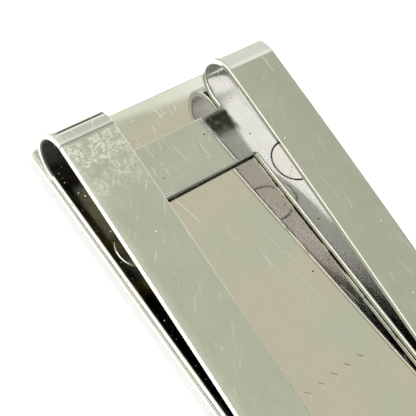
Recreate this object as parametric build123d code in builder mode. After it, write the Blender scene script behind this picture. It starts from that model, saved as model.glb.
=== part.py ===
from build123d import *

import os
from math import atan, cos, degrees, radians, sin

# Money clip: a thick rectangular plate with a one-piece spring clip riveted to its back.
#
# Frame: millimetres, the clip lies on its front face. X runs across the clip, +Y runs
# along it towards the folded loops, +Z points up from the plate to the clamping arms.
# The origin is under the middle of the clip, on the front face.

# Front plate
PLATE_WIDTH = 26.0
PLATE_LENGTH = 50.0
PLATE_THICKNESS = 2.3
PLATE_CORNER = 0.9
PLATE_BACK_EDGE = 0.22
PLATE_FRONT_EDGE = 0.6

# Plain punch marks on the plate's back, in one row across it
MARK_COUNT = 5
MARK_SIZE = 0.95
MARK_SPACING = 1.7
MARK_DEPTH = 0.12
MARK_PLACE = (-1.4, -7.6)

# Spring sheet: a flat frame of two legs and a crossbar lies on the plate, and two
# strips rise from the crossbar, fold over and come back down as the clamping arms
SHEET = 0.7
SHEET_EDGE = 0.2
SIDE_MARGIN = 0.3
LEG_WIDTH = 6.0
STRIP_WIDTH = 5.85
CROSSBAR_WIDTH = 6.0
CROSSBAR_DROP = 4.6
LEG_END_GAP = 4.0
LEG_END_CORNER = 0.6
WINDOW_CORNER = 0.3
TAB_CORNER = 0.4

# Side view of a folded strip, along its middle surface: it rises from the tab, turns
# back in two arcs, and runs on as an arm with a slight bow, a straight and a lip
ROOT_DROP = 3.57
RISE_RADIUS = 3.2
RISE_ANGLE = 38.3
TIP_RADIUS = 2.06
TIP_ANGLE = 60.0
CREST_RADIUS = 2.63
ARM_START_ANGLE = degrees(atan(0.088))
ARM_BOW_RADIUS = 800.0
ARM_BOW_LENGTH = 20.5
ARM_STRAIGHT_LENGTH = 16.4
ARM_WINDOW_LENGTH = 36.4
ARM_WINDOW_CORNER = 1.2
LIP_RADIUS = 6.0
LIP_ANGLE = 25.0
LIP_LENGTH = 1.8
LIP_CORNER = 1.2

# Flush rivets, one through each leg
RIVET_DROP = 13.1
RIVET_HEAD_RADIUS = 2.3
RIVET_CLEARANCE = 0.01
RIVET_EDGE = 0.07
RIVET_SHANK_RADIUS = 1.3
RIVET_SHANK_DEPTH = 1.5
TICK_LENGTH = 1.4
TICK_WIDTH = 0.12
TICK_DEPTH = 0.08
TICK_ANGLE = 37.0
TICK_OFFSET = (-1.2, -1.0)

# How near an edge has to be to a place to be chosen by it
NEAR = 0.1
SAME = 0.01

# Places worked out from the sizes above
plate_top = PLATE_LENGTH / 2
frame_half_width = PLATE_WIDTH / 2 - SIDE_MARGIN
strip_inner = frame_half_width - STRIP_WIDTH
strip_centre = frame_half_width - STRIP_WIDTH / 2
crossbar_top = plate_top - CROSSBAR_DROP
crossbar_bottom = crossbar_top - CROSSBAR_WIDTH
root_y = plate_top - ROOT_DROP
leg_end = -plate_top + LEG_END_GAP
sheet_top = PLATE_THICKNESS + SHEET
sheet_middle = PLATE_THICKNESS + SHEET / 2
rivet_x = frame_half_width - LEG_WIDTH / 2
rivet_y = plate_top - RIVET_DROP
rivet_centres = [(-rivet_x, rivet_y), (rivet_x, rivet_y)]
tick_centre = (rivet_x + TICK_OFFSET[0], rivet_y + TICK_OFFSET[1])


def heading(angle):
    """Unit direction in the side view, counter-clockwise from +Y."""
    return (cos(radians(angle)), sin(radians(angle)))


def at_y(edges, y):
    """The edges whose middle is at this place along the clip."""
    return edges.filter_by_position(Axis.Y, y - NEAR, y + NEAR)


def lies_in(edge, plane):
    """True if the edge lies in the plane."""
    return max(abs(plane.to_local_coords(edge @ u).Z) for u in (0, 0.5, 1)) < SAME


def crosses_sheet(edge):
    """True for the short edges that run through the sheet's thickness."""
    return abs(edge.length - SHEET) < SAME


def is_arm_rim(edge):
    """True for the arms' outline, which is rounded; not for the seams with the bends or the bow."""
    runs_across = abs((edge % 0.5).X) > 1 - SAME
    ends_metal = lies_in(edge, arm_end) or abs(edge.center().Y - arm_window_end) < NEAR
    return (ends_metal or not runs_across) and not crosses_sheet(edge) and not lies_in(edge, loop_end)


# Middle line of each loop, from the crossbar's tab up and over to the arm
crest_angle = 180 + ARM_START_ANGLE - RISE_ANGLE - TIP_ANGLE
with BuildLine(Plane.YZ) as loop_line:
    rise = JernArc((root_y, sheet_middle), heading(0), RISE_RADIUS, RISE_ANGLE)
    turn = JernArc(rise @ 1, rise % 1, TIP_RADIUS, TIP_ANGLE)
    crest = JernArc(turn @ 1, turn % 1, CREST_RADIUS, crest_angle)

# Middle line of the arms: a slight bow, a straight run, then the raised lip
bow_angle = degrees(ARM_BOW_LENGTH / ARM_BOW_RADIUS)
with BuildLine(Plane.YZ) as arm_line:
    bow = JernArc(crest @ 1, crest % 1, ARM_BOW_RADIUS, bow_angle)
    run = Line(bow @ 1, bow @ 1 + (bow % 1) * ARM_STRAIGHT_LENGTH)
    flare = JernArc(run @ 1, run % 1, LIP_RADIUS, -(LIP_ANGLE + ARM_START_ANGLE + bow_angle))
    Line(flare @ 1, flare @ 1 + (flare % 1) * LIP_LENGTH)

loop_start = Plane(origin=loop_line.wire() @ 0, x_dir=(1, 0, 0), z_dir=loop_line.wire() % 0)
loop_end = Plane(origin=loop_line.wire() @ 1, x_dir=(1, 0, 0), z_dir=loop_line.wire() % 1)
arm_end = Plane(origin=arm_line.wire() @ 1, x_dir=(1, 0, 0), z_dir=arm_line.wire() % 1)
arm_window_end = loop_end.origin.Y - ARM_WINDOW_LENGTH


# Plate: softened outline, a more rounded front, blind holes for the rivet shanks
with BuildPart() as front_plate:
    with BuildSketch():
        RectangleRounded(PLATE_WIDTH, PLATE_LENGTH, PLATE_CORNER)
    extrude(amount=PLATE_THICKNESS)
    fillet(front_plate.faces().sort_by(Axis.Z)[-1].edges(), PLATE_BACK_EDGE)
    fillet(front_plate.faces().sort_by(Axis.Z)[0].edges(), PLATE_FRONT_EDGE)
    with BuildSketch(Plane.XY.offset(PLATE_THICKNESS - RIVET_SHANK_DEPTH)):
        with Locations(*rivet_centres):
            Circle(RIVET_SHANK_RADIUS + RIVET_CLEARANCE)
    extrude(amount=RIVET_SHANK_DEPTH, mode=Mode.SUBTRACT)
    with BuildSketch(Plane.XY.offset(PLATE_THICKNESS)):
        with Locations(MARK_PLACE):
            with GridLocations(MARK_SPACING, 0, MARK_COUNT, 1):
                RegularPolygon(MARK_SIZE / 2, 4)
    extrude(amount=-MARK_DEPTH, mode=Mode.SUBTRACT)
front_plate.part.label = "front_plate"


# Flat frame of the spring sheet: crossbar, two legs and the roots of the two tabs
with BuildPart() as spring_base:
    with BuildSketch(Plane.XY.offset(PLATE_THICKNESS)):
        with Locations((0, crossbar_bottom)):
            Rectangle(2 * frame_half_width, CROSSBAR_WIDTH, align=(Align.CENTER, Align.MIN))
        for side, align_x in ((-1, Align.MIN), (1, Align.MAX)):
            with Locations((side * frame_half_width, leg_end)):
                Rectangle(LEG_WIDTH, crossbar_bottom - leg_end, align=(align_x, Align.MIN))
            with Locations((side * frame_half_width, crossbar_top)):
                Rectangle(STRIP_WIDTH, root_y - crossbar_top, align=(align_x, Align.MIN))
    extrude(amount=SHEET)
    corners = spring_base.edges().filter_by(Axis.Z)
    inner = corners.filter_by_position(Axis.X, -strip_inner - NEAR, strip_inner + NEAR)
    fillet(at_y(corners, leg_end), LEG_END_CORNER)
    fillet(at_y(inner, crossbar_bottom), WINDOW_CORNER)
    fillet(at_y(inner, crossbar_top), TAB_CORNER)
    rims = spring_base.faces().filter_by(Axis.Z).edges()
    fillet(rims.filter_by(lambda edge: not lies_in(edge, loop_start)), SHEET_EDGE)
    with BuildSketch(Plane.XY.offset(PLATE_THICKNESS)):
        with Locations(*rivet_centres):
            Circle(RIVET_HEAD_RADIUS + RIVET_CLEARANCE)
    extrude(amount=SHEET, mode=Mode.SUBTRACT)
    mouths = spring_base.edges().filter_by(GeomType.CIRCLE).group_by(Axis.Z)[-1]
    chamfer(mouths.filter_by(lambda edge: edge.radius > RIVET_HEAD_RADIUS), RIVET_EDGE)
spring_base.part.label = "spring_base"


# The two folded loops join the tabs to the arms and do the bending
bends = []
for name, side in (("left_bend", -1), ("right_bend", 1)):
    with BuildPart() as bend:
        with BuildSketch(loop_start):
            with Locations((side * strip_centre, 0)):
                RectangleRounded(STRIP_WIDTH, SHEET, SHEET_EDGE)
        sweep(path=loop_line.wire())
    bend.part.label = name
    bends.append(bend.part)


# Both arms with the end bar that joins them and its raised lip
with BuildPart() as clamp_arms:
    with BuildSketch(loop_end):
        Rectangle(2 * frame_half_width, SHEET)
    sweep(path=arm_line.wire())
    with BuildSketch():
        with Locations((0, arm_window_end)):
            Rectangle(2 * strip_inner, 2 * ARM_WINDOW_LENGTH, align=(Align.CENTER, Align.MIN))
    extrude(amount=PLATE_LENGTH, mode=Mode.SUBTRACT)
    corners = clamp_arms.edges().filter_by(crosses_sheet)
    fillet(corners.filter_by(lambda edge: lies_in(edge, arm_end)), LIP_CORNER)
    fillet(at_y(corners, arm_window_end), ARM_WINDOW_CORNER)
    fillet(clamp_arms.edges().filter_by(is_arm_rim), SHEET_EDGE)
clamp_arms.part.label = "clamp_arms"


# Rivets: a flush head in the leg's hole and a shank in the plate
with BuildPart() as rivets:
    with BuildSketch(Plane.XY.offset(PLATE_THICKNESS - RIVET_SHANK_DEPTH)):
        with Locations(*rivet_centres):
            Circle(RIVET_SHANK_RADIUS)
    extrude(amount=RIVET_SHANK_DEPTH + SHEET / 2)
    with BuildSketch(Plane.XY.offset(PLATE_THICKNESS)):
        with Locations(*rivet_centres):
            Circle(RIVET_HEAD_RADIUS)
    extrude(amount=SHEET)
    chamfer(rivets.faces().sort_by(Axis.Z)[-2:].edges(), RIVET_EDGE)
    # A short cut across the rim of the right-hand head
    with BuildSketch(Plane.XY.offset(sheet_top)):
        with Locations(tick_centre):
            Rectangle(TICK_LENGTH, TICK_WIDTH, rotation=TICK_ANGLE)
    extrude(amount=-TICK_DEPTH, mode=Mode.SUBTRACT)
rivets.part.label = "rivets"


os.makedirs("parts", exist_ok=True)
for part in (front_plate.part, spring_base.part, *bends, clamp_arms.part, rivets.part):
    export_step(part, f"parts/{part.label}.step")
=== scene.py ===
"""Looks of the money clip: polished, lightly scratched plated metal on a pale floor.

Metres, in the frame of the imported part: X across the clip, +Y towards the folded
loops, +Z from the plate up to the clamping arms. Materials work in millimetres.
"""

from math import cos, radians, sin, tau

import bmesh
import bpy
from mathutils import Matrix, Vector


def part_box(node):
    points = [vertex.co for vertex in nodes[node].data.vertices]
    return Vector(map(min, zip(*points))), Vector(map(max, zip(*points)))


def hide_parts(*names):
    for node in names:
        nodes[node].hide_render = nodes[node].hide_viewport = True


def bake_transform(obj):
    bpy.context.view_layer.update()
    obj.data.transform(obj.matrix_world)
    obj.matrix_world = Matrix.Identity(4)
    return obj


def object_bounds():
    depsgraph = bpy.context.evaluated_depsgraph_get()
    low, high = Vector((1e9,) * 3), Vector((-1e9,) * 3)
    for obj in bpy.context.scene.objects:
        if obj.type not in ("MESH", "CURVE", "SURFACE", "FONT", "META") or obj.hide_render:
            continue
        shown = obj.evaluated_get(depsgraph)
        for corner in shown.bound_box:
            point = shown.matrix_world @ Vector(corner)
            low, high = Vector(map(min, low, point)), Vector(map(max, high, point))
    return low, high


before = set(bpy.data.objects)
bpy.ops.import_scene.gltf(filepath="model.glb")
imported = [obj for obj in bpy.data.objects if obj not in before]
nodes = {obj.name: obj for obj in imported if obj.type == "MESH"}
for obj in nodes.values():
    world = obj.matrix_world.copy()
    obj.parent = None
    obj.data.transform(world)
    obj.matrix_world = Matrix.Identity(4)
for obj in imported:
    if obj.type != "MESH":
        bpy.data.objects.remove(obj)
cad_low, cad_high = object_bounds()

MM = 0.001

# Camera
CAMERA_PLACE = (-48.16 * MM, -11.52 * MM, 79.64 * MM)
CAMERA_TURN = (16.881, -30.156, -28.671)
CAMERA_LENS = 85.36
SENSOR_WIDTH = 36.0
FARTHEST = 10.0

# Folded loops: the middle line's arcs (radius, angle, steps) in the side view, the
# angle at which the line leaves as the arm, and the rounding of the strip's edges
ARM_HEADING = 185.03
RISE_ARC = (3.2 * MM, 38.3, 24)
TIP_ARC = (2.06 * MM, 60.0, 48)
CREST_ARC = (2.63 * MM, ARM_HEADING - RISE_ARC[1] - TIP_ARC[1], 60)
SHEET = 0.7 * MM
EDGE_RADIUS = 0.2 * MM
EDGE_STEPS = 8

# Floor, which glows near the clip, and a light that the metal doesn't mirror
FLOOR_HALF = 0.8
FLOOR_GAP = 0.02 * MM
FLOOR_COLOUR = (0.86, 0.86, 0.85)
FLOOR_ROUGHNESS = 0.9
FLOOR_GLOW_REACH = (27 * MM, 44 * MM)
FLOOR_GLOW_NEAR = 0.82
FLOOR_GLOW_FAR = 0.36
KEY_PLACE = (0.16, -0.02, 0.10)
KEY_SIZE = (0.12, 0.08)
KEY_POWER = 0.42

# From here on, a pair of numbers says where a change starts and where it is complete, or
# the amounts there. A pair of pairs holds the two soft borders of a band.

# The room that the metal mirrors, by direction: x, y and z of the direction, or its
# slopes x / z and y / z. The ceiling meets the far wall at a slanted line with a step.
CEILING = (0.58, 0.605, 0.465)
WALL_LEFT = (0.68, 0.70, 0.585)
WALL_RIGHT = (0.84, 0.87, 0.78)
WALL_LOW = (1.1, 1.12, 1.02)
SIDE_GLOW = (2.6, 2.6, 2.5)
LEAST_HEIGHT = 0.02
WALL_LINE = 0.525
WALL_LINE_SLANT = 0.114
WALL_LINE_STEP = 0.11
WALL_LINE_BLUR = (-0.004, 0.008)
CORNER = (0.69, 0.76)
CORNER_SHADE = 0.9
RIGHT_WALL = (0.6, 0.68)
RIGHT_WALL_SLANT = 0.45
RIGHT_WALL_PIVOT = 0.4
LOW_WALL = (0.4, 0.24)
WALL_GLOW_REACH = (0.5, 0.22)
WALL_GLOW_LEFT = 0.28
WALL_GLOW_RIGHT = 0.17
SIDE_X = (-0.72, -0.88)
SIDE_Z = (0.55, 0.4)
FOOT_Z = ((0.0, 0.03), (0.21, 0.16))
FOOT_Y = (0.82, 0.86)
FOOT_SHADE = 0.9
END_X = (0.82, 0.9)
END_Z = (0.5, 0.4)
END_SHADE = 0.5
FRONT_Y = (-0.66, -0.42)
FRONT_LIGHT = 0.35

# Metals
SPRING_COLOUR = (0.75, 0.755, 0.735)
PLATE_COLOURS = ((0.86, 0.785, 0.745), (0.79, 0.775, 0.745))
PLATE_SIDE_COLOUR = (0.64, 0.65, 0.655)
RIVET_COLOUR = (0.77, 0.755, 0.72)
# Scratches, and also the painted highlights on the plate's bare strips and the left leg's cut edge
SCRATCH_AND_HIGHLIGHT_COLOUR = (0.97, 0.97, 0.96)
# Dark pits and dirt, and also the painted shade of the left fold's crease
PIT_AND_SHADE_COLOUR = (0.03, 0.027, 0.02)
DUST_COLOUR = (0.9, 0.89, 0.86)
FILM_COLOUR = (0.55, 0.53, 0.2)
# Painted shade on hidden faces: under the arms, on the covered left leg and inside the loops
HIDDEN_SHADE_LEFT = 0.27
HIDDEN_SHADE_RIGHT = 0.76
HIDDEN_TINT = (1.0, 0.965, 0.985)
TARNISH_TINT = (1.6, 1.4, 0.85)
POLISH = 0.045
HAZY_POLISH = POLISH * 1.6
PLATE_POLISH = POLISH * 0.6
SCRATCH_ROUGHNESS = 0.3
CUT_ROUGHNESS = 0.05
CREASE_ROUGHNESS = 0.2
DARKENING_ROUGHNESS = 0.4
LIP_ROUGHNESS = 0.4
SCRATCH_DEPTH = 0.003
SCRATCH_CORE = 0.3
SCRATCH_REACH = 0.45
SCRATCH_TAPER = 0.4
HAIR_STRENGTH = 0.6
CROSS_STRENGTH = 0.7
GRAIN_DEPTH = 0.004
GRAIN_STRETCH = (1.0, 1.0, 0.3)
SPRING_WAVES = 0.012
PLATE_WAVES = 0.003
RIVET_WAVES = 0.01

# Marks on the metals, in millimetres. A height is above the legs' upper faces, "along" is
# from where the loops begin towards their tips, "inward" is from the left arm's outer
# edge, and "inset" is from the nearer side. "Facing" goes by the parts of the normal.
FACING_SIDE = (0.6, 0.8)
FACING_DOWN = (-0.3, -0.6)
FACING_UP = (0.8, 0.95)
LEFT_HALF = (2.0, -2.0)
ARM_SHADOW_BLUR = 0.3
LOOP_LEFT_HALF = (1.0, -1.0)
LOOP_ROOT_BRIGHT = (0.7, 3.0)
LOOP_FACING_IN = (-0.1, -0.6)
ON_LEGS = (0.1, 0.0)
ON_ARMS = (0.1, 0.3)
LOW_DOWN = (1.0, 0.2)
SCUFF_ALONG = ((-7.5, -2.5), (0.1, -0.2))
SCUFF_X = (0.0, -5.0)
SCUFF_HEIGHT = (2.0, 3.0)
SCUFF_AND_HIGHLIGHT_STRENGTH = 0.95
CHAFED_INWARD = (4.5, 1.5)
CHAFED_DUST = 0.35
WORN_INWARD = (1.1, 0.1)
# Where the left leg's cut edge is painted lighter: a painted highlight
LEG_EDGE_INWARD = (0.35, 0.25)
LEG_EDGE_HEIGHT = (0.1, -0.1)
# A dark line along the left fold: painted shade of its crease
CREASE_ALONG = 0.28
CREASE_WIDTH = (0.16, 0.03)
CREASE_HEIGHT = (3.0, 3.5)
CREASE_X = (4.0, -4.0)
CREASE_STRENGTH = 0.5
SEAM_REACH_AT_BAR = 0.56
SEAM_REACH_AT_LEGS = (0.16, 0.3)
SEAM_FADE = (0.0, -0.14)
SEAM_INSET = (0.3, 0.9)
RIVET_GAP_WIDTH = (0.14, 0.05)
RIVET_GAP_HEIGHT = (0.2, 0.1)
FOLD_ALONG = (0.1, 1.8)
FOLD_ROUGHNESS = (0.035, 0.45)
EDGE_FACING = ((0.08, 0.2), (0.95, 0.85))
EDGE_ROUGHNESS = (0.2, 0.55)
BURR_INWARD = ((5.3, 5.6), (6.7, 6.2))
BURR_HEIGHT = (0.3, 0.6)
BURR_ALONG = (0.3, 0.0)
BURR_Y = (-8.0, 10.0)
# Dust on the left arm's inner edge, thicker towards the loops: dust on a rough edge and a painted
# sheen
BURR_DUST_AND_SHEEN = (0.05, 0.28)
FILM_INWARD = ((0.6, 1.1), (6.2, 5.7))
FILM_Y = ((12.5, 14.5), (20.0, 18.8))
FILM_DUST = 0.25
CLOSING_Y = (6.0, -8.0)
# Painted shade on the right arm's underside by the fold
UNDERSIDE_SHADE_X = (10.2, 9.7)
UNDERSIDE_SHADE_Y = ((18.2, 19.8), (21.8, 21.3))
UNDERSIDE_SHADE_STRENGTH = 0.8
DISH_X = (5.5, 6.5)
DISH_Y = ((9.0, 12.0), (18.0, 14.5))
DISH_TILT = 0.03
PLATE_TOP_Y = (22.2, 23.4)
PLATE_CORNER_X = (3.5, 5.5)
PLATE_CORNER_Y = (17.0, 19.0)
LIP_INSET = (0.5, 0.4)
LIP_BELOW_TOP = (0.3, 0.1)


class Graph:
    """Short forms for building one node tree."""

    def __init__(self, tree):
        self.tree = tree

    def node(self, kind, **settings):
        node = self.tree.nodes.new(kind)
        for name, value in settings.items():
            setattr(node, name, value)
        return node

    def feed(self, value, socket):
        """Links another node's output in, or sets a plain value or colour."""
        if isinstance(value, bpy.types.NodeSocket):
            self.tree.links.new(value, socket)
        elif socket.type == "RGBA":
            socket.default_value = (*value, 1)
        else:
            socket.default_value = value

    def math(self, operation, a, b=0.0):
        node = self.node("ShaderNodeMath", operation=operation)
        self.feed(a, node.inputs[0])
        self.feed(b, node.inputs[1])
        return node.outputs[0]

    def product(self, first, *others):
        for other in others:
            first = self.math("MULTIPLY", first, other)
        return first

    def largest(self, first, *others):
        for other in others:
            first = self.math("MAXIMUM", first, other)
        return first

    def inverse(self, mask):
        return self.math("SUBTRACT", 1.0, mask)

    def ramp(self, value, start, end, low=0.0, high=1.0):
        """A smooth step of the value from low at start to high at end."""
        node = self.node("ShaderNodeMapRange", interpolation_type="SMOOTHSTEP")
        for given, socket in zip((value, start, end, low, high), node.inputs):
            self.feed(given, socket)
        return node.outputs[0]

    def window(self, value, limits):
        """A mask of the values between two pairs, one for each of its soft borders."""
        first, second = limits
        return self.product(self.ramp(value, *first), self.ramp(value, *second))

    def blend(self, factor, a, b):
        """A number between a and b."""
        node = self.node("ShaderNodeMix", data_type="FLOAT")
        for given, socket in ((factor, 0), (a, 2), (b, 3)):
            self.feed(given, node.inputs[socket])
        return node.outputs[0]

    def mix(self, factor, a, b):
        """A colour between a and b."""
        node = self.node("ShaderNodeMix", data_type="RGBA")
        for given, socket in ((factor, 0), (a, 6), (b, 7)):
            self.feed(given, node.inputs[socket])
        return node.outputs[2]

    def split(self, vector):
        node = self.node("ShaderNodeSeparateXYZ")
        self.feed(vector, node.inputs[0])
        return node.outputs

    def join(self, x, y, z=0.0):
        node = self.node("ShaderNodeCombineXYZ")
        for given, socket in zip((x, y, z), node.inputs):
            self.feed(given, socket)
        return node.outputs[0]

    def scaled(self, vector, scale):
        node = self.node("ShaderNodeVectorMath", operation="SCALE")
        self.feed(vector, node.inputs[0])
        self.feed(scale, node.inputs["Scale"])
        return node.outputs[0]

    def vectors(self, operation, a, b=(0, 0, 0)):
        node = self.node("ShaderNodeVectorMath", operation=operation)
        self.feed(a, node.inputs[0])
        self.feed(b, node.inputs[1])
        return node.outputs[0]

    def noise(self, place, size, detail=2.0, curl=0.0):
        """Cloudy noise with features of this size: (value, three values as a colour)."""
        node = self.node("ShaderNodeTexNoise")
        self.feed(place, node.inputs["Vector"])
        node.inputs["Scale"].default_value = 1 / size
        node.inputs["Detail"].default_value = detail
        node.inputs["Distortion"].default_value = curl
        return node.outputs[0], node.outputs[1]

    def cells(self, flat):
        """Random cells about one unit wide: (distance to the centre, random colour, centre)."""
        node = self.node("ShaderNodeTexVoronoi", voronoi_dimensions="2D")
        self.feed(flat, node.inputs["Vector"])
        node.inputs["Scale"].default_value = 1
        return node.outputs["Distance"], node.outputs["Color"], node.outputs["Position"]


def add_camera():
    data = bpy.data.cameras.new("camera")
    data.lens = CAMERA_LENS
    data.sensor_width = SENSOR_WIDTH
    data.clip_start = MM
    data.clip_end = FARTHEST
    camera = bpy.data.objects.new("camera", data)
    camera.location = CAMERA_PLACE
    camera.rotation_mode = "ZYX"
    camera.rotation_euler = [radians(a) for a in CAMERA_TURN]
    bpy.context.scene.collection.objects.link(camera)
    bpy.context.scene.camera = camera


def link_mesh(name, mesh):
    piece = bpy.data.objects.new(name, mesh)
    bpy.context.scene.collection.objects.link(piece)
    return piece


def add_floor():
    half = FLOOR_HALF
    mesh = bpy.data.meshes.new("floor")
    corners = [(-half, -half, 0), (half, -half, 0), (half, half, 0), (-half, half, 0)]
    mesh.from_pydata(corners, [], [(0, 1, 2, 3)])
    floor = link_mesh("floor", mesh)
    floor.location.z = cad_low.z - FLOOR_GAP
    material = bpy.data.materials.new("floor")
    material.use_nodes = True
    g = Graph(material.node_tree)
    shader = g.tree.nodes["Principled BSDF"]
    shader.inputs["Base Color"].default_value = (*FLOOR_COLOUR, 1)
    shader.inputs["Roughness"].default_value = FLOOR_ROUGHNESS
    shader.inputs["Emission Color"].default_value = (1, 1, 1, 1)
    away = g.node("ShaderNodeVectorMath", operation="LENGTH")
    g.feed(g.node("ShaderNodeTexCoord").outputs["Object"], away.inputs[0])
    distance = away.outputs["Value"]
    glow = g.ramp(distance, *FLOOR_GLOW_REACH, FLOOR_GLOW_NEAR, FLOOR_GLOW_FAR)
    g.feed(glow, shader.inputs["Emission Strength"])
    mesh.materials.append(material)


def add_key_light():
    """A soft light on the right, which brightens the floor there."""
    data = bpy.data.lights.new("key_light", "AREA")
    data.shape = "RECTANGLE"
    data.size, data.size_y = KEY_SIZE
    data.energy = KEY_POWER
    light = bpy.data.objects.new("key_light", data)
    light.location = KEY_PLACE
    light.rotation_mode = "QUATERNION"
    light.rotation_quaternion = (-Vector(KEY_PLACE)).to_track_quat("-Z", "Y")
    light.visible_glossy = False
    bpy.context.scene.collection.objects.link(light)


def add_world():
    """A pale room: a grey ceiling, lighter walls with a dark foot, a dim front, a left glow."""
    world = bpy.data.worlds.new("studio")
    bpy.context.scene.world = world
    world.use_nodes = True
    g = Graph(world.node_tree)
    g.tree.nodes.clear()
    x, y, z = g.split(g.node("ShaderNodeTexCoord").outputs["Generated"])
    height = g.math("MAXIMUM", z, LEAST_HEIGHT)
    across = g.math("DIVIDE", x, height)
    beyond = g.math("DIVIDE", y, height)
    # How far the direction is past the line where the ceiling meets the far wall
    line = g.math("SUBTRACT", WALL_LINE, g.math("MULTIPLY", across, WALL_LINE_SLANT))
    line = g.math("SUBTRACT", line, g.ramp(across, *CORNER, 0.0, WALL_LINE_STEP))
    past = g.math("SUBTRACT", beyond, line)
    slant = g.math("MULTIPLY", g.math("SUBTRACT", beyond, RIGHT_WALL_PIVOT), RIGHT_WALL_SLANT)
    right = g.ramp(g.math("SUBTRACT", across, slant), *RIGHT_WALL)
    wall = g.mix(right, WALL_LEFT, WALL_RIGHT)
    wall = g.mix(g.product(g.ramp(z, *LOW_WALL), g.inverse(right)), wall, WALL_LOW)
    glow = g.blend(right, WALL_GLOW_LEFT, WALL_GLOW_RIGHT)
    glow = g.product(g.ramp(past, *WALL_GLOW_REACH), glow)
    wall = g.scaled(wall, g.math("ADD", glow, 1.0))
    ceiling = g.scaled(CEILING, g.ramp(across, *CORNER, 1.0, CORNER_SHADE))
    sky = g.mix(g.ramp(past, *WALL_LINE_BLUR), ceiling, wall)
    sky = g.mix(g.product(g.ramp(x, *SIDE_X), g.ramp(z, *SIDE_Z)), sky, SIDE_GLOW)
    foot = g.product(g.window(z, FOOT_Z), g.ramp(y, *FOOT_Y), FOOT_SHADE)
    end = g.product(g.ramp(x, *END_X), g.ramp(z, *END_Z), END_SHADE)
    light = g.product(g.ramp(y, *FRONT_Y, FRONT_LIGHT, 1.0), g.inverse(foot), g.inverse(end))
    background = g.node("ShaderNodeBackground")
    g.feed(sky, background.inputs["Color"])
    g.feed(light, background.inputs["Strength"])
    backdrop = g.node("ShaderNodeBackground")
    backdrop.inputs["Color"].default_value = (1, 1, 1, 1)
    chosen = g.node("ShaderNodeMixShader")
    g.feed(g.node("ShaderNodeLightPath").outputs["Is Camera Ray"], chosen.inputs[0])
    g.feed(background.outputs[0], chosen.inputs[1])
    g.feed(backdrop.outputs[0], chosen.inputs[2])
    g.feed(chosen.outputs[0], g.node("ShaderNodeOutputWorld").inputs["Surface"])


def surface_places(g):
    """Millimetre place, and the object's normal, split into their parts."""
    coords = g.node("ShaderNodeTexCoord")
    place = g.scaled(coords.outputs["Object"], 1 / MM)
    return place, g.split(place), g.split(coords.outputs["Normal"])


def flat_faces(g):
    """For flat sheet: place, flat place on each face, masks of cut edges and hidden faces.

    Hidden are the undersides, and the top of the left leg, which lies under its arm.
    """
    place, (x, y, z), (nx, ny, nz) = surface_places(g)
    arm_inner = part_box("left_bend")[1].x / MM
    height = g.math("SUBTRACT", z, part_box("spring_base")[1].z / MM)
    sideways = g.ramp(g.math("ABSOLUTE", nx), *FACING_SIDE)
    endways = g.ramp(g.math("ABSOLUTE", ny), *FACING_SIDE)
    flat = g.join(g.blend(sideways, x, z), g.blend(endways, y, z))
    under_arm = g.ramp(x, arm_inner + ARM_SHADOW_BLUR, arm_inner)
    leg = g.product(g.ramp(height, *ON_LEGS), under_arm, g.ramp(nz, *FACING_UP))
    return place, flat, sideways, g.math("MAXIMUM", g.ramp(nz, *FACING_DOWN), leg)


def loop_faces(g):
    """The same for a loop, whose flat place follows the fold and whose inside is hidden."""
    low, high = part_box("left_bend")
    centre_y = (high.y - SHEET / 2 - TIP_ARC[0]) / MM
    centre_z = (low.z + high.z) / 2 / MM
    place, (x, y, z), (nx, ny, nz) = surface_places(g)
    out_y = g.math("SUBTRACT", y, centre_y)
    out_z = g.math("SUBTRACT", z, centre_z)
    turn = g.math("ARCTAN2", out_y, out_z)
    round_place = g.math("MULTIPLY", turn, (high.z - low.z) / 2 / MM)
    sideways = g.ramp(g.math("ABSOLUTE", nx), *FACING_SIDE)
    flat = g.join(g.blend(sideways, x, z), round_place)
    outward = g.math("ADD", g.math("MULTIPLY", ny, out_y), g.math("MULTIPLY", nz, out_z))
    # The right loop's inside stays bright near its root
    risen = g.ramp(g.math("SUBTRACT", z, low.z / MM), *LOOP_ROOT_BRIGHT)
    shaded = g.math("MAXIMUM", g.ramp(x, *LOOP_LEFT_HALF), risen)
    return place, flat, sideways, g.math("MULTIPLY", g.ramp(outward, *LOOP_FACING_IN), shaded)


def scratches(g, flat, turn, length, spacing, width, share):
    """Mask of separate straight scratches, one at most per cell. Millimetres and degrees."""
    cell_size = (spacing, length, 1)
    spin = g.node("ShaderNodeVectorRotate", rotation_type="Z_AXIS")
    g.feed(flat, spin.inputs["Vector"])
    spin.inputs["Angle"].default_value = radians(turn)
    cell = g.vectors("DIVIDE", spin.outputs[0], cell_size)
    _, chance, centre = g.cells(cell)
    offset = g.vectors("MULTIPLY", g.vectors("SUBTRACT", cell, centre), cell_size)
    across, along, _ = g.split(offset)
    slant, reach, strength = g.split(chance)
    lean = g.math("MULTIPLY", g.math("SUBTRACT", slant, 0.5), spacing / length)
    off = g.math("ABSOLUTE", g.math("SUBTRACT", across, g.math("MULTIPLY", along, lean)))
    line = g.ramp(off, width, width * SCRATCH_CORE)
    reach = g.math("MULTIPLY", reach, length * SCRATCH_REACH)
    ends = g.ramp(g.math("ABSOLUTE", along), reach, 0.0)
    return g.product(line, g.math("POWER", ends, SCRATCH_TAPER), g.ramp(strength, 1 - share, 1.0))


def specks(g, flat, spacing, radius, share):
    """Mask of small round spots of mixed sizes, one at most per cell."""
    away, chance, _ = g.cells(g.scaled(flat, 1 / spacing))
    size, strength, _ = g.split(chance)
    limit = g.product(size, size, size, radius / spacing)
    spot = g.inverse(g.math("GREATER_THAN", away, limit))
    return g.math("MULTIPLY", spot, g.math("GREATER_THAN", strength, 1 - share))


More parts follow.
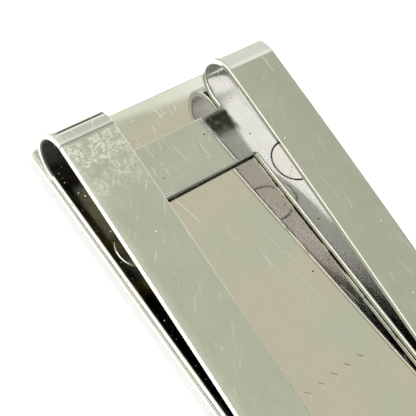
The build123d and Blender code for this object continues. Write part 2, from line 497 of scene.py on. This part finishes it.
def rivet_gap(g, place):
    """Mask of the dirty gap round the right rivet's head."""
    low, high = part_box("rivets")
    head = (high.y - low.y) / 2 / MM
    leg_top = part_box("spring_base")[1].z / MM
    centre = (high.x / MM - head, (low.y + high.y) / 2 / MM, leg_top)
    x, y, height = g.split(g.vectors("SUBTRACT", place, centre))
    away = g.node("ShaderNodeVectorMath", operation="LENGTH")
    g.feed(g.join(x, y), away.inputs[0])
    gap = g.math("ABSOLUTE", g.math("SUBTRACT", away.outputs["Value"], head))
    patchy = g.ramp(g.noise(place, size=0.5)[0], 0.3, 0.6, low=0.6, high=0.95)
    return g.product(g.ramp(gap, *RIVET_GAP_WIDTH), g.ramp(height, *RIVET_GAP_HEIGHT), patchy)


def uneven_normal(g, place, amount, dish=0.0):
    """The surface's normal, tilted by slow waves as on hand-polished sheet, and by a dish."""
    _, waves = g.noise(place, size=3.5, detail=1.0)
    tilt = g.scaled(g.vectors("SUBTRACT", waves, (0.5, 0.5, 0.5)), amount)
    tilt = g.vectors("ADD", tilt, g.join(dish, 0.0))
    normal = g.node("ShaderNodeNewGeometry").outputs["Normal"]
    return g.vectors("NORMALIZE", g.vectors("ADD", normal, tilt))


def added_up(g, amount, parts):
    """The amount plus each (mask, strength) pair's product."""
    for mask, strength in parts:
        amount = g.math("ADD", amount, g.math("MULTIPLY", mask, strength))
    return amount


def finish_metal(g, colour, roughness, height, normal, pits, dust, dust_colour=DUST_COLOUR):
    """Connects the shader: polished metal with dark pits, dust and a fine relief."""
    shader = g.tree.nodes["Principled BSDF"]
    colour = g.mix(pits, colour, PIT_AND_SHADE_COLOUR)
    g.feed(g.mix(dust, colour, dust_colour), shader.inputs["Base Color"])
    g.feed(g.largest(roughness, pits, dust), shader.inputs["Roughness"])
    g.feed(g.inverse(dust), shader.inputs["Metallic"])
    bump = g.node("ShaderNodeBump")
    bump.inputs["Distance"].default_value = MM
    bump.inputs["Strength"].default_value = 1.0
    g.feed(height, bump.inputs["Height"])
    g.feed(normal, bump.inputs["Normal"])
    g.feed(bump.outputs[0], shader.inputs["Normal"])


def new_material(name):
    material = bpy.data.materials.new(name)
    material.use_nodes = True
    return material, Graph(material.node_tree)


def handling_marks(g, place, flat):
    """Mask of hairlines and scratches: mostly along the clip, some across."""
    patches = g.ramp(g.noise(place, size=5.0)[0], 0.35, 0.65, low=0.35)
    hairs = scratches(g, flat, turn=3, length=7.0, spacing=0.35, width=0.04, share=0.6)
    long = scratches(g, flat, turn=-9, length=7.0, spacing=1.6, width=0.06, share=0.5)
    short = scratches(g, flat, turn=14, length=2.4, spacing=0.9, width=0.06, share=0.5)
    cross = scratches(g, flat, turn=78, length=2.0, spacing=1.9, width=0.045, share=0.3)
    hairs = g.product(hairs, patches, HAIR_STRENGTH)
    short = g.math("MULTIPLY", short, patches)
    return g.largest(hairs, long, short, g.math("MULTIPLY", cross, CROSS_STRENGTH))


class Sheet:
    """The spring sheet's places, faces and noises, and the masks of its marks."""

    def __init__(self, g, faces):
        self.g = g
        self.place, self.flat, self.cut, self.hidden = faces(g)
        self.x, self.y, self.z = g.split(self.place)
        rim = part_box("clamp_arms")[0].x / MM
        loop_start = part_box("left_bend")[0].y / MM
        leg_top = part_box("spring_base")[1].z / MM
        self.inward = g.math("SUBTRACT", self.x, rim)
        self.inset = g.math("SUBTRACT", -rim, g.math("ABSOLUTE", self.x))
        self.along = g.math("SUBTRACT", self.y, loop_start)
        self.height = g.math("SUBTRACT", self.z, leg_top)
        normal = g.node("ShaderNodeTexCoord").outputs["Normal"]
        self.sideways = g.math("ABSOLUTE", g.split(normal)[0])
        self.rounded = g.window(self.sideways, EDGE_FACING)
        self.shown = g.inverse(self.hidden)
        self.left = g.ramp(self.x, *LEFT_HALF)
        self.low_down = g.ramp(self.height, *LOW_DOWN)
        self.curls = g.noise(self.place, size=0.4, detail=3.0, curl=1.5)[0]
        self.clouds = g.noise(self.place, size=1.9)[0]
        self.haze = g.noise(self.place, size=2.6, detail=3.0)[0]

    def scuffed_patch(self):
        """A scuffed patch on the left arm by the fold."""
        g = self.g
        area = g.product(g.window(self.along, SCUFF_ALONG), g.ramp(self.x, *SCUFF_X))
        area = g.product(area, self.shown, g.ramp(self.height, *SCUFF_HEIGHT))
        return g.product(g.ramp(self.curls, 0.42, 0.58), g.ramp(self.clouds, 0.32, 0.52), area)

    def worn_edges_and_highlight(self):
        """The left arm's outer edge, worn along its whole length, and a painted highlight on the
        leg's edge below.
        """
        g = self.g
        arm = g.product(g.ramp(self.inward, *WORN_INWARD), g.ramp(self.height, *ON_ARMS))
        arm = g.product(arm, g.ramp(self.curls, 0.3, 0.6, low=0.4, high=0.9), self.shown)
        # The leg's edge below is painted lighter: a painted highlight
        leg = g.ramp(self.inward, *LEG_EDGE_INWARD)
        leg = g.math("MULTIPLY", leg, g.ramp(self.height, *LEG_EDGE_HEIGHT))
        return g.math("MAXIMUM", arm, leg)

    def streaks(self):
        """Broad slanting scratches on the arms, fainter on the right."""
        g = self.g
        lines = scratches(g, self.flat, turn=33, length=2.2, spacing=0.7, width=0.11, share=0.5)
        strength = g.ramp(self.x, *SCUFF_X, low=0.2)
        return g.product(lines, strength, g.ramp(self.height, *ON_ARMS), self.shown)

    def crease_shade(self):
        """A dark line painted along the left fold as the shade of its fine crease."""
        g = self.g
        away = g.math("ABSOLUTE", g.math("SUBTRACT", self.along, CREASE_ALONG))
        line = g.product(g.ramp(away, *CREASE_WIDTH), g.ramp(self.height, *CREASE_HEIGHT))
        return g.product(line, self.shown, g.ramp(self.x, *CREASE_X, high=CREASE_STRENGTH))

    def darkening(self):
        """The sheet darker along its seam with the plate, higher on the crossbar's face, and dirt
        round the right rivet.
        """
        g = self.g
        reach = g.ramp(self.clouds, 0.4, 0.65, *SEAM_REACH_AT_LEGS)
        reach = g.blend(g.ramp(self.sideways, 0.3, 0.6), SEAM_REACH_AT_BAR, reach)
        seam = g.math("ADD", reach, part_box("front_plate")[1].z / MM)
        above = g.math("SUBTRACT", self.z, seam)
        filled = g.product(g.ramp(above, *SEAM_FADE), g.ramp(self.inset, *SEAM_INSET))
        filled = g.math("MULTIPLY", filled, g.ramp(self.curls, 0.35, 0.5, low=0.85))
        return g.math("MAXIMUM", filled, rivet_gap(g, self.place))

    def burr(self):
        """The left arm's inner edge, a little rough."""
        g = self.g
        edge = g.product(g.window(self.inward, BURR_INWARD), g.ramp(self.height, *BURR_HEIGHT))
        return g.product(edge, self.rounded, g.ramp(self.along, *BURR_ALONG))

    def film(self):
        """A dull film on the left leg, in under the arm's edge."""
        g = self.g
        area = g.product(g.window(self.inward, FILM_INWARD), g.window(self.y, FILM_Y))
        area = g.product(area, g.ramp(self.height, *ON_LEGS), self.hidden)
        return g.math("MULTIPLY", area, g.ramp(self.curls, 0.3, 0.5, low=0.6))

    def underside_shade(self):
        """Painted shade on the right arm's underside by the fold, which the leg mirrors."""
        g = self.g
        rise, fall = UNDERSIDE_SHADE_Y
        underside_shade = g.product(g.ramp(self.y, *rise, high=UNDERSIDE_SHADE_STRENGTH), g.ramp(self.y, *fall))
        underside_shade = g.product(underside_shade, g.ramp(self.x, *UNDERSIDE_SHADE_X), self.hidden)
        patchy = g.ramp(g.noise(self.place, size=0.9, detail=3.0)[0], 0.35, 0.6, low=0.6)
        return g.math("MULTIPLY", underside_shade, patchy)

    def dish(self):
        """How far the rivet has dished the right leg, as a tilt."""
        g = self.g
        area = g.product(g.ramp(self.x, *DISH_X), g.window(self.y, DISH_Y))
        return g.product(area, g.ramp(self.height, *ON_LEGS), DISH_TILT)

    def pits(self):
        """Dark pits low down, denser on the cut edges. The raised faces have none."""
        g = self.g
        on_cuts = g.product(specks(g, self.flat, spacing=0.4, radius=0.09, share=0.6), self.cut)
        pits = g.math("MAXIMUM", specks(g, self.flat, spacing=1.1, radius=0.13, share=0.3), on_cuts)
        return g.math("MULTIPLY", pits, self.low_down)

    def dust_specks(self):
        """Specks of dust, denser on the hidden faces of the left half."""
        g = self.g
        dense = specks(g, self.flat, spacing=0.8, radius=0.08, share=0.6)
        dense = g.product(dense, self.hidden, self.left)
        return g.math("MAXIMUM", specks(g, self.flat, spacing=1.9, radius=0.08, share=0.25), dense)

    def shaded(self, colour):
        """The colour, darker with painted shade and tinted on hidden faces, most so on the left."""
        g = self.g
        tarnish = g.ramp(g.noise(self.place, size=2.4, detail=3.0)[0], 0.46, 0.66)
        tint = g.mix(g.math("MULTIPLY", tarnish, self.left), HIDDEN_TINT, TARNISH_TINT)
        colour = g.mix(self.hidden, colour, g.vectors("MULTIPLY", colour, tint))
        # On the right, it darkens where the arm closes down on the leg
        closing = g.ramp(self.y, *CLOSING_Y, HIDDEN_SHADE_RIGHT, HIDDEN_SHADE_LEFT)
        shade = g.blend(self.hidden, 1.0, g.blend(self.left, closing, HIDDEN_SHADE_LEFT))
        # Painted shade on the right arm's underside by the fold, which the leg mirrors
        underside_shaded = g.blend(self.left, g.inverse(self.underside_shade()), 1.0)
        return g.scaled(colour, g.product(shade, underside_shaded, g.ramp(self.haze, 0.3, 0.7, 0.97, 1.02)))


def spring_metal(name, faces):
    """Polished spring sheet: scratched flats, grainy cut edges, rougher hidden faces in painted
    shade.
    """
    material, g = new_material(name)
    sheet = Sheet(g, faces)
    marks = handling_marks(g, sheet.place, sheet.flat)
    patch = sheet.scuffed_patch()
    # Wear marks, together with the painted highlight on the left leg's edge
    scuff_and_highlight = g.largest(patch, sheet.worn_edges_and_highlight(), sheet.streaks())
    line, darkening, burr, film = sheet.crease_shade(), sheet.darkening(), sheet.burr(), sheet.film()

    bright = g.math("MAXIMUM", marks, g.math("MULTIPLY", scuff_and_highlight, SCUFF_AND_HIGHLIGHT_STRENGTH))
    colour = g.mix(bright, SPRING_COLOUR, SCRATCH_AND_HIGHLIGHT_COLOUR)
    # The crease line is painted shade; the seam beside it is darkened too
    colour = sheet.shaded(g.mix(g.math("MAXIMUM", line, darkening), colour, PIT_AND_SHADE_COLOUR))

    rough = added_up(g, g.ramp(sheet.haze, 0.35, 0.7, POLISH, HAZY_POLISH), (
        (marks, SCRATCH_ROUGHNESS),
        (scuff_and_highlight, SCRATCH_ROUGHNESS),
        (sheet.cut, CUT_ROUGHNESS),
        (sheet.hidden, g.ramp(sheet.along, *FOLD_ALONG, *FOLD_ROUGHNESS)),
        (line, CREASE_ROUGHNESS),
        (darkening, DARKENING_ROUGHNESS),
        (sheet.rounded, g.ramp(burr, 0.0, 1.0, *EDGE_ROUGHNESS)),
    ))

    grain = g.noise(g.vectors("MULTIPLY", sheet.place, GRAIN_STRETCH), size=0.12, detail=3.0)[0]
    grain = g.product(grain, sheet.cut, sheet.low_down, GRAIN_DEPTH)
    height = g.math("SUBTRACT", grain, g.math("MULTIPLY", marks, SCRATCH_DEPTH))

    speck = sheet.dust_specks()
    chafed = g.product(patch, g.ramp(sheet.inward, *CHAFED_INWARD, low=0.4), CHAFED_DUST)
    # Whitish dust on the left arm's inner edge, thicker towards the loops: dust on a rough edge and
    # a painted sheen on it
    rubbed_dust_and_sheen = g.math("MULTIPLY", burr, g.ramp(sheet.y, *BURR_Y, *BURR_DUST_AND_SHEEN))
    dust = g.largest(speck, chafed, rubbed_dust_and_sheen, g.math("MULTIPLY", film, FILM_DUST))
    dust_colour = g.mix(g.math("MULTIPLY", film, g.inverse(speck)), DUST_COLOUR, FILM_COLOUR)

    normal = uneven_normal(g, sheet.place, SPRING_WAVES, sheet.dish())
    finish_metal(g, colour, rough, height, normal, sheet.pits(), dust, dust_colour)
    return material


def plate_metal():
    """Thick plate: a finer, warmer polish, faint tint patches, and strips at its sides in a painted
    highlight.
    """
    material, g = new_material("plate_metal")
    place, flat, side, _ = flat_faces(g)
    marks = handling_marks(g, place, flat)
    x, y, z = g.split(place)
    tint = g.ramp(g.noise(place, size=7.0, detail=1.0)[0], 0.5, 0.68)
    corner = g.product(g.ramp(x, *PLATE_CORNER_X), g.ramp(y, *PLATE_CORNER_Y))
    tint = g.largest(tint, g.ramp(y, *PLATE_TOP_Y), corner)
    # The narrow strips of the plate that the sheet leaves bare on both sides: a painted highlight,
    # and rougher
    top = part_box("front_plate")[1]
    inset = g.math("SUBTRACT", top.x / MM, g.math("ABSOLUTE", x))
    below = g.math("SUBTRACT", top.z / MM, z)
    lip_highlight = g.product(g.ramp(inset, *LIP_INSET), g.ramp(below, *LIP_BELOW_TOP))
    colour = g.mix(side, g.mix(tint, *PLATE_COLOURS), PLATE_SIDE_COLOUR)
    colour = g.mix(g.math("MAXIMUM", marks, lip_highlight), colour, SCRATCH_AND_HIGHLIGHT_COLOUR)
    haze = g.noise(place, size=2.6, detail=3.0)[0]
    rough = g.ramp(haze, 0.35, 0.7, PLATE_POLISH, POLISH)
    rough = added_up(g, rough, ((marks, SCRATCH_ROUGHNESS), (lip_highlight, LIP_ROUGHNESS)))
    pits = specks(g, flat, spacing=1.9, radius=0.09, share=0.25)
    dust = specks(g, flat, spacing=2.7, radius=0.1, share=0.3)
    height = g.math("MULTIPLY", marks, -SCRATCH_DEPTH)
    finish_metal(g, colour, rough, height, uneven_normal(g, place, PLATE_WAVES), pits, dust)
    return material


def rivet_metal():
    """Rivets: a slightly warmer polish, with dirt round the right one's head."""
    material, g = new_material("rivet_metal")
    place, flat, _, _ = flat_faces(g)
    marks = handling_marks(g, place, flat)
    darkening = rivet_gap(g, place)
    colour = g.mix(darkening, g.mix(marks, RIVET_COLOUR, SCRATCH_AND_HIGHLIGHT_COLOUR), PIT_AND_SHADE_COLOUR)
    dull = g.math("MAXIMUM", marks, darkening)
    rough = added_up(g, POLISH, ((dull, SCRATCH_ROUGHNESS),))
    pits = specks(g, flat, spacing=1.1, radius=0.14, share=0.4)
    dust = specks(g, flat, spacing=2.1, radius=0.1, share=0.3)
    height = g.math("MULTIPLY", marks, -SCRATCH_DEPTH)
    finish_metal(g, colour, rough, height, uneven_normal(g, place, RIVET_WAVES), pits, dust)
    return material


def strip_section(width):
    """Points and outward normals round the strip's section, (across, up) from its centre."""
    points = []
    corner_x = width / 2 - EDGE_RADIUS
    corner_z = SHEET / 2 - EDGE_RADIUS
    for quarter, (sx, sz) in enumerate(((1, 1), (-1, 1), (-1, -1), (1, -1))):
        for step in range(EDGE_STEPS + 1):
            a = tau / 4 * (quarter + step / EDGE_STEPS)
            point = (sx * corner_x + EDGE_RADIUS * cos(a), sz * corner_z + EDGE_RADIUS * sin(a))
            points.append((point, (cos(a), sin(a))))
    return points


def loop_stations(root_y, root_z):
    """Places and headings along the middle line of a loop, in the side view."""
    stations = []
    y, z, heading = root_y, root_z, 0.0
    for radius, angle, steps in (RISE_ARC, TIP_ARC, CREST_ARC):
        centre_y = y - radius * sin(heading)
        centre_z = z + radius * cos(heading)
        for step in range(steps):
            a = heading + radians(angle) * step / steps
            stations.append((centre_y + radius * sin(a), centre_z - radius * cos(a), a))
        heading += radians(angle)
        y, z = centre_y + radius * sin(heading), centre_z - radius * cos(heading)
    stations.append((y, z, heading))
    return stations


def add_bend(name, node, material):
    """A loop swept in one smooth piece, which bends between the base and the arms."""
    low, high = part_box(node)
    section = strip_section(high.x - low.x)
    centre_x = (low.x + high.x) / 2
    root_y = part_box("spring_base")[1].y
    stations = loop_stations(root_y, low.z + SHEET / 2)
    vertices, normals, faces = [], [], []
    for y, z, heading in stations:
        for (across, up), (nx, nz) in section:
            vertices.append((centre_x + across, y - up * sin(heading), z + up * cos(heading)))
            normals.append((nx, -nz * sin(heading), nz * cos(heading)))
    ring = len(section)
    for i in range(len(stations) - 1):
        for j in range(ring):
            k = (j + 1) % ring
            faces.append((i * ring + j, i * ring + k, (i + 1) * ring + k, (i + 1) * ring + j))
    last = (len(stations) - 1) * ring
    faces.append(tuple(range(ring)))
    faces.append(tuple(last + j for j in reversed(range(ring))))
    mesh = bpy.data.meshes.new(name)
    mesh.from_pydata(vertices, [], faces)
    mesh.validate()
    for polygon in mesh.polygons:
        polygon.use_smooth = len(polygon.vertices) == 4
    bm = bmesh.new()
    bm.from_mesh(mesh)
    bmesh.ops.recalc_face_normals(bm, faces=bm.faces)
    bm.to_mesh(mesh)
    bm.free()
    mesh.materials.append(material)
    mesh.normals_split_custom_set([normals[loop.vertex_index] for loop in mesh.loops])
    piece = link_mesh(name, mesh)
    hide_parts(node)
    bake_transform(piece)


def dress(node, material):
    """Gives a CAD node its material."""
    slots = nodes[node].data.materials
    if not slots:
        slots.append(material)
    nodes[node].material_slots[0].material = material


add_camera()
add_floor()
add_world()
add_key_light()

sheet_metal = spring_metal("spring_metal", flat_faces)
loop_metal = spring_metal("loop_metal", loop_faces)
dress("front_plate", plate_metal())
dress("spring_base", sheet_metal)
dress("clamp_arms", sheet_metal)
dress("rivets", rivet_metal())
add_bend("left_loop", "left_bend", loop_metal)
add_bend("right_loop", "right_bend", loop_metal)

bpy.context.scene.view_settings.view_transform = "Standard"
bpy.context.scene.cycles.glossy_bounces = 12
